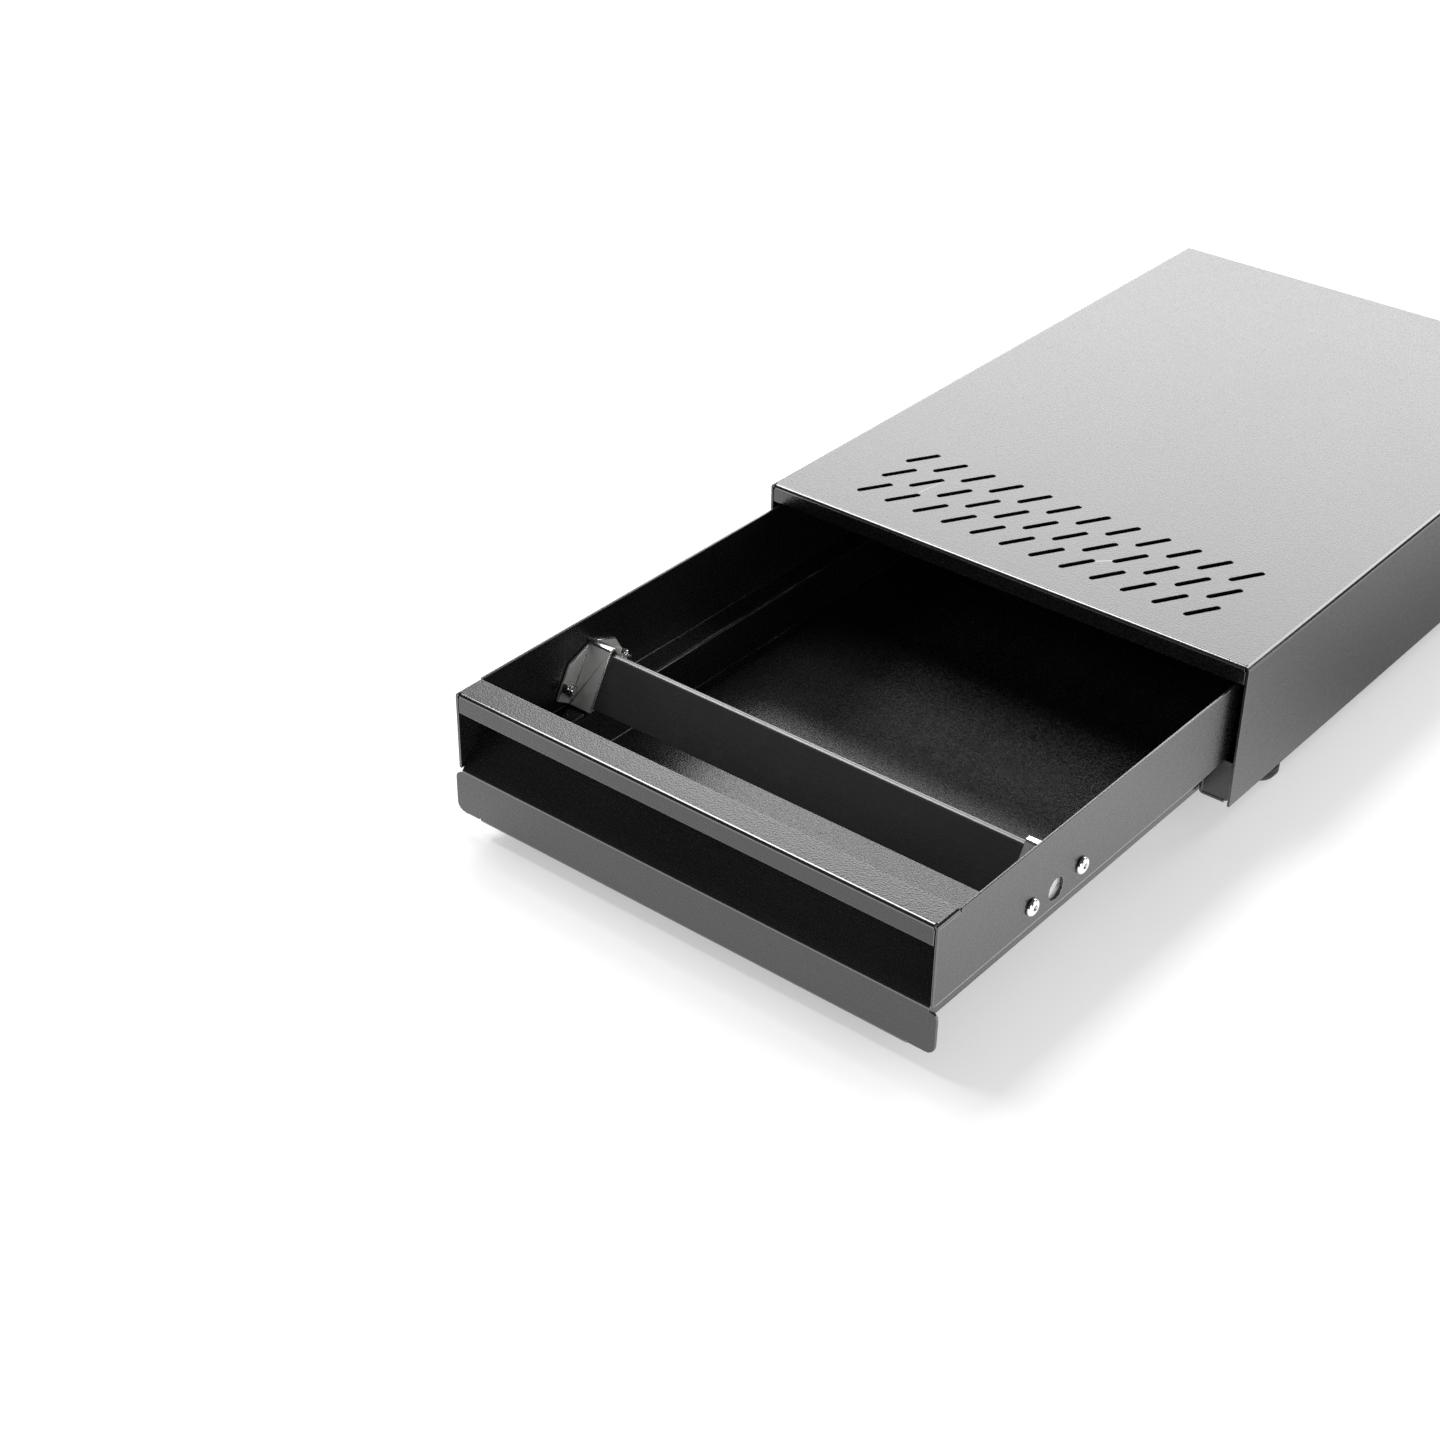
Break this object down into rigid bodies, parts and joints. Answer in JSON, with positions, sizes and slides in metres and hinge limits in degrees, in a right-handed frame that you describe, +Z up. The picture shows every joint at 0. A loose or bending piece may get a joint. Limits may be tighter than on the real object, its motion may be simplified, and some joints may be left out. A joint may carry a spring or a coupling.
{
  "type": "coffee knock drawer",
  "caption": "Low black sheet-steel case on rubber feet, with slanted vent slots, and a pull-out drawer carrying a rubber-covered knock bar on stainless brackets.",
  "frame": {"origin": "on the worktop, under the middle of the part as it stands with its drawer open", "axes": "+X to the right seen from the front, +Y from the drawer's front to the case's back, +Z up"},
  "size_m": [0.3, 0.705, 0.0927],
  "materials": {
    "powder_coat": "fine-textured black powder coat, semi-gloss",
    "satin_steel": "stainless sheet, smooth and bright",
    "screw_steel": "stainless fasteners, polished",
    "zinc_steel": "zinc-plated steel, dull",
    "bar_rubber": "extruded black rubber, satin",
    "rubber": "moulded black rubber, matt"
  },
  "bodies": {
    "case": {"back_bumper_left": "rubber", "back_bumper_right": "rubber", "back_panel": "powder_coat", "back_screw_left": "zinc_steel", "back_screw_right": "zinc_steel", "case_shell": "powder_coat", "foot_front_left": "rubber", "foot_front_right": "rubber", "foot_nut_front_left": "zinc_steel", "foot_nut_front_right": "zinc_steel", "foot_nut_rear_left": "zinc_steel", "foot_nut_rear_right": "zinc_steel", "foot_rear_left": "rubber", "foot_rear_right": "rubber", "foot_screw_front_left": "zinc_steel", "foot_screw_front_right": "zinc_steel", "foot_screw_rear_left": "zinc_steel", "foot_screw_rear_right": "zinc_steel", "rail_left": "powder_coat", "rail_right": "powder_coat", "travel_stop": "powder_coat"},
    "drawer": {"bar_core": "zinc_steel", "bar_sleeve": "bar_rubber", "bracket_left": "satin_steel", "bracket_nut_front_left": "screw_steel", "bracket_nut_front_right": "screw_steel", "bracket_nut_rear_left": "screw_steel", "bracket_nut_rear_right": "screw_steel", "bracket_right": "satin_steel", "bracket_screw_front_left": "screw_steel", "bracket_screw_front_right": "screw_steel", "bracket_screw_rear_left": "screw_steel", "bracket_screw_rear_right": "screw_steel", "drawer_back": "powder_coat", "drawer_body": "powder_coat", "front_panel": "powder_coat"}
  },
  "joints": [
    {"name": "drawer_slide", "type": "slide", "parent": "case", "child": "drawer", "axis": [0, -1, 0], "range_m": [-0.255, 0.02]}
  ]
}
